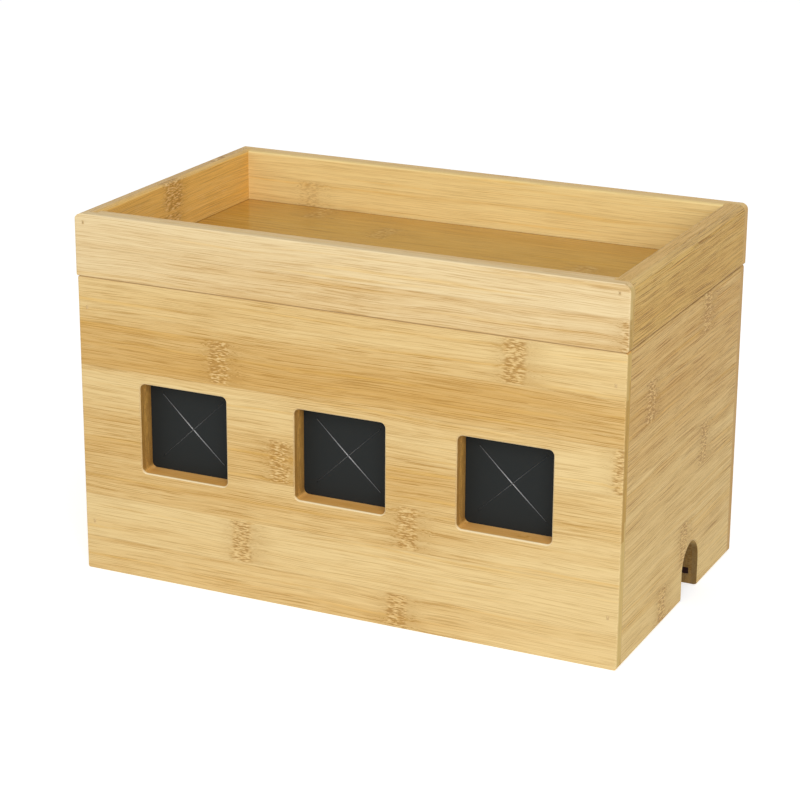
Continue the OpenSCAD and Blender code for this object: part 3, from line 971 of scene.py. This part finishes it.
def hole_outline(looks):
    """Points round the hole that the flaps fill, to match sheet_outline."""
    root_x, root_z = looks.span_x + looks.root_set, looks.span_z + looks.root_set

    def side(upright, step):
        wide, notch = (looks.span_x, looks.span_z) if upright else (looks.span_z, looks.span_x)
        high = root_z if upright else root_x
        if step == 0:
            return -wide, notch
        x = (2 * step / SIDE_POINTS - 1) * wide * SIDE_POINTS / (SIDE_POINTS - 2)
        return (wide if step == SIDE_POINTS - 1 else max(-wide, min(wide, x))), high

    return around_window(side)


def sheet_bmesh(looks, half_x, half_z):
    """The rubber sheet round the flaps: rings from the hole's edge out to the sheet's own edge."""
    half, ease, radius = looks.sheet / 2, looks.edge, SHEET_ROUND * MM
    inner = hole_outline(looks)
    outer = sheet_outline(half_x, half_z, radius)
    soft = sheet_outline(half_x - ease, half_z - ease, radius - ease)
    maker = bmesh.new()
    rings, cut_highlights = [], []

    def ring(points, y, cut=0.0):
        rings.append([maker.verts.new((x, y, z)) for x, z in points])
        cut_highlights.extend([cut] * len(points))

    def between(share):
        return [(a[0] + (b[0] - a[0]) * share, a[1] + (b[1] - a[1]) * share) for a, b in zip(inner, soft)]

    for share in SHEET_RINGS:
        ring(between(share), -half)
    ring(outer, -half + ease, SHEET_EDGE_HIGHLIGHT)
    ring(outer, half - ease, SHEET_EDGE_HIGHLIGHT)
    for share in reversed(SHEET_RINGS):
        ring(between(share), half)
    stitch(maker, [*rings, rings[0]])
    bmesh.ops.recalc_face_normals(maker, faces=maker.faces)
    return maker, cut_highlights


def make_sheet(window, looks, finish):
    """Models a window's rubber sheet."""
    centre, half = window_place(window)
    maker, cut_highlights = sheet_bmesh(looks, half.x, half.z)
    sheet = rubber_object(maker, window + "_rubber_sheet", cut_highlights, centre, Matrix.Identity(4), finish)
    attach(sheet, "box")
    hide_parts(window + "_membrane")


def make_flap(window, quarter, looks, finish):
    """Models one of a window's flaps, so many quarter turns clockwise from its top."""
    side = QUARTERS[quarter]
    body = f"{window}_{side}_flap"
    if not any(joint["parent"] == "box" and joint["child"] == body for joint in frame["joints"]):
        raise RuntimeError(f"the frame has no joint for {body}")
    upright = quarter % 2 == 0
    half_root, rise = (looks.span_x, looks.span_z) if upright else (looks.span_z, looks.span_x)
    lean = WINDOWS[window] if side in ("bottom", "left") else UPPER_LEAN
    # the painted highlight is fainter on one slit, whose cut edges face away from the light
    slit_highlight = (1.0, looks.faint_highlight) if upright else (looks.faint_highlight, 1.0)
    maker, cut_highlights = flap_bmesh(looks, half_root, rise, looks.proud * lean, slit_highlight)
    turn = Matrix.Rotation(math.radians(90 * quarter), 4, "Y")
    centre, _ = window_place(window)
    flap = rubber_object(maker, f"{window}_{side}_rubber_flap", cut_highlights, centre, turn, finish)
    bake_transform(flap)
    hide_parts(body)


# ---- Fillers over the brads ----

PLUG_SIDES = 24
PLUG_SQUARE = 0.4  # 1 would make a plug round, and less makes it squarer
# Each ring of a plug as a share of its width, one of its depth, and 1 where the brad shows through.
PLUG_RINGS = ((1.0, 0.9, 0), (1.0, 0.2, 0), (0.75, 0.05, 0), (0.4, 0.0, 1))


def plug(maker, looks, x, y, z, inward):
    """Adds a plug of putty whose middle lies level with the wood's face at this point. Inward is 1 where the
    wood lies behind that point and -1 where it lies in front of it."""
    half_w, half_h = looks.head_w / 2 + looks.gap, looks.head_h / 2 + looks.gap
    rings = []
    for share, depth, _ in PLUG_RINGS:
        ring = []
        for step in range(PLUG_SIDES):
            turn = 2 * math.pi * step / PLUG_SIDES
            cosine, sine = math.cos(turn), math.sin(turn)
            aside = half_w * share * math.copysign(abs(cosine) ** PLUG_SQUARE, cosine)
            above = half_h * share * math.copysign(abs(sine) ** PLUG_SQUARE, sine)
            ring.append(maker.verts.new((x + aside, y + inward * depth * looks.set, z + above)))
        rings.append(ring)
    close_tube(maker, rings)


def filler(name, brads, looks, show):
    """One plug of putty over each brad's head, smeared level with the face that the brad was driven into.
    Show is how far the head shows through."""
    low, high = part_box(brads)
    heights = sorted({round(z, 5) for z in (low.z + looks.head_h / 2, high.z - looks.head_h / 2)})
    sides = (low.x + looks.head_w / 2, high.x - looks.head_w / 2)
    faces = ((low.y - looks.set, 1), (high.y + looks.set, -1))
    maker = bmesh.new()
    marks = []
    for z in heights:
        for x in sides:
            for y, inward in faces:
                plug(maker, looks, x, y, z, inward)
                for _, _, shows in PLUG_RINGS:
                    marks += [show * shows] * PLUG_SIDES
    bmesh.ops.recalc_face_normals(maker, faces=maker.faces)
    mesh = mesh_from(maker, name)
    mark_points(mesh, "middle", marks)
    return add_object(name, mesh)


# ---- Stage ----

LAMP_SIZE = 1.6  # this and the lengths below are in metres
KEY_PLACE = (1.3, -2.0, 1.25)
FILL_PLACE = (-1.6, -1.8, 0.9)
FLOOR_REACH = 6.0


def seen_rays(tree):
    """1 for the rays that show the floor and the room themselves, 0 for those that light the object."""
    path = tree.node("ShaderNodeLightPath").outputs
    seen = tree.math("MAXIMUM", path["Is Camera Ray"], path["Is Glossy Ray"])
    return tree.math("MAXIMUM", seen, path["Is Transmission Ray"])


def pale_floor(looks):
    """A matt floor that looks whiter than it is lit, and that is see-through from below."""
    material, tree = new_material("pale_floor")
    matt = tree.node("ShaderNodeBsdfDiffuse", {"Color": looks.floor})
    glow = tree.node("ShaderNodeEmission", {"Strength": tree.times(seen_rays(tree), looks.lift)})
    both = tree.node("ShaderNodeAddShader", {0: matt.outputs[0], 1: glow.outputs[0]})
    under = tree.node("ShaderNodeNewGeometry").outputs["Backfacing"]
    clear = tree.node("ShaderNodeBsdfTransparent")
    surface = tree.node("ShaderNodeMixShader", {0: under, 1: both.outputs[0], 2: clear.outputs[0]})
    tree.node("ShaderNodeOutputMaterial", {"Surface": surface.outputs[0]})
    return material


def make_floor(looks):
    maker = bmesh.new()
    bmesh.ops.create_grid(maker, x_segments=1, y_segments=1, size=FLOOR_REACH)
    floor = add_object("stage_floor", mesh_from(maker, "stage_floor"))
    floor.data.materials.append(pale_floor(looks))


def make_room(looks):
    """A room that looks white and lights the object more dimly."""
    world = bpy.data.worlds.new("white_room")
    bpy.context.scene.world = world
    world.use_nodes = True
    tree = Tree(world.node_tree)
    strength = tree.times_plus(seen_rays(tree), 1.0 - looks.sky, looks.sky)
    tree.put(world.node_tree.nodes["Background"].inputs, {"Color": (1, 1, 1), "Strength": strength})


def make_lamp(name, power, place):
    lamp = bpy.data.lights.new(name, "AREA")
    lamp.energy, lamp.size = power, LAMP_SIZE
    thing = add_object(name, lamp)
    thing.location = place
    thing.rotation_euler = (LAMP_AIM - Vector(place)).to_track_quat("-Z", "Y").to_euler()
    thing.visible_camera = False


def make_camera(looks):
    camera = bpy.data.cameras.new("view_camera")
    camera.lens, camera.sensor_width, camera.clip_end = looks.lens, 36.0, 50.0
    thing = add_object("view_camera", camera)
    axes = Matrix((CAMERA_RIGHT, CAMERA_UP, CAMERA_RIGHT.cross(CAMERA_UP))).transposed().to_4x4()
    thing.matrix_world = Matrix.Translation(looks.camera) @ axes
    bpy.context.scene.camera = thing


# ---- Operators ----


class CABLEBOX_OT_stage(bpy.types.Operator):
    """Set up the floor, the white room, the lamps and the camera"""

    bl_idname = "cablebox.stage"
    bl_label = "Stage"

    def execute(self, context):
        looks = context.scene.cablebox_stage
        context.scene.view_settings.view_transform = "Standard"
        make_floor(looks)
        make_room(looks)
        make_lamp("key_lamp", looks.key, KEY_PLACE)
        make_lamp("fill_lamp", looks.fill, FILL_PLACE)
        make_camera(looks)
        return {"FINISHED"}


class CABLEBOX_OT_boards(bpy.types.Operator):
    """Give the box's four walls their bamboo"""

    bl_idname = "cablebox.boards"
    bl_label = "Box walls"

    def execute(self, context):
        for name in ("front_panel", "rear_panel", "left_panel", "right_panel"):
            dress(name, bamboo(name, context.scene.cablebox_bamboo))
        return {"FINISHED"}


class CABLEBOX_OT_lid(bpy.types.Operator):
    """Give the lid's rails, tray floor and battens their bamboo"""

    bl_idname = "cablebox.lid"
    bl_label = "Lid"

    def execute(self, context):
        looks = context.scene.cablebox_bamboo
        for name in BOARDS:
            if name.startswith("lid_") or name == "tray_floor":
                dress(name, bamboo(name, looks))
            elif name.endswith("_batten"):
                sand_edges(dress(name, bamboo(name, looks)))
        return {"FINISHED"}


class CABLEBOX_OT_base(bpy.types.Operator):
    """Give the base panel its dark colour"""

    bl_idname = "cablebox.base"
    bl_label = "Base panel"

    def execute(self, context):
        sand_edges(dress("base_panel", dark_board()))
        return {"FINISHED"}


class CABLEBOX_OT_windows(bpy.types.Operator):
    """Model the three slit rubber sheets and their flaps, which curve a little from their roots"""

    bl_idname = "cablebox.windows"
    bl_label = "Rubber windows"

    def execute(self, context):
        looks = context.scene.cablebox_rubber
        finish = rubber(looks)
        for window in WINDOWS:
            make_sheet(window, looks, finish)
            for quarter in range(len(QUARTERS)):
                make_flap(window, quarter, looks, finish)
        return {"FINISHED"}


class CABLEBOX_OT_brads(bpy.types.Operator):
    """Give the brads their wire finish and fill the holes over their heads"""

    bl_idname = "cablebox.brads"
    bl_label = "Brads"

    def execute(self, context):
        steel = brad_steel()
        wood = putty(context.scene.cablebox_bamboo)
        for body, show in FILLER_SHOW.items():
            ease_edges(dress(body + "_brads", steel), "Worn corners", 0.12)
            thing = filler(body + "_brad_filler", body + "_brads", context.scene.cablebox_brads, show)
            thing.data.materials.append(wood)
            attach(thing, body)
        return {"FINISHED"}


class CABLEBOX_PT_panel(bpy.types.Panel):
    """Lists the pieces and their settings"""

    bl_label = "Cable box"
    bl_idname = "CABLEBOX_PT_panel"
    bl_space_type = "VIEW_3D"
    bl_region_type = "UI"
    bl_category = "Cable box"

    def draw(self, context):
        for operator in OPERATORS:
            self.layout.operator(operator.bl_idname)
        for title, name, _ in SETTINGS:
            box = self.layout.box()
            box.label(text=title)
            group = getattr(context.scene, name)
            for key in group.__annotations__:
                box.prop(group, key)


OPERATORS = (
    CABLEBOX_OT_stage, CABLEBOX_OT_boards, CABLEBOX_OT_lid, CABLEBOX_OT_base,
    CABLEBOX_OT_windows, CABLEBOX_OT_brads,
)
SETTINGS = (
    ("Bamboo", "cablebox_bamboo", BambooSettings), ("Rubber", "cablebox_rubber", RubberSettings),
    ("Brads", "cablebox_brads", BradSettings), ("Stage", "cablebox_stage", StageSettings),
)


def register():
    for each in (*(group for _, _, group in SETTINGS), *OPERATORS, CABLEBOX_PT_panel):
        bpy.utils.register_class(each)
    for _, name, group in SETTINGS:
        setattr(bpy.types.Scene, name, PointerProperty(type=group))


def unregister():
    for _, name, _ in SETTINGS:
        delattr(bpy.types.Scene, name)
    for each in (CABLEBOX_PT_panel, *OPERATORS, *(group for _, _, group in SETTINGS)):
        bpy.utils.unregister_class(each)


def main():
    register()
    bpy.ops.cablebox.stage()
    bpy.ops.cablebox.boards()
    bpy.ops.cablebox.lid()
    bpy.ops.cablebox.base()
    bpy.ops.cablebox.windows()
    bpy.ops.cablebox.brads()


if __name__ == "__main__":
    main()
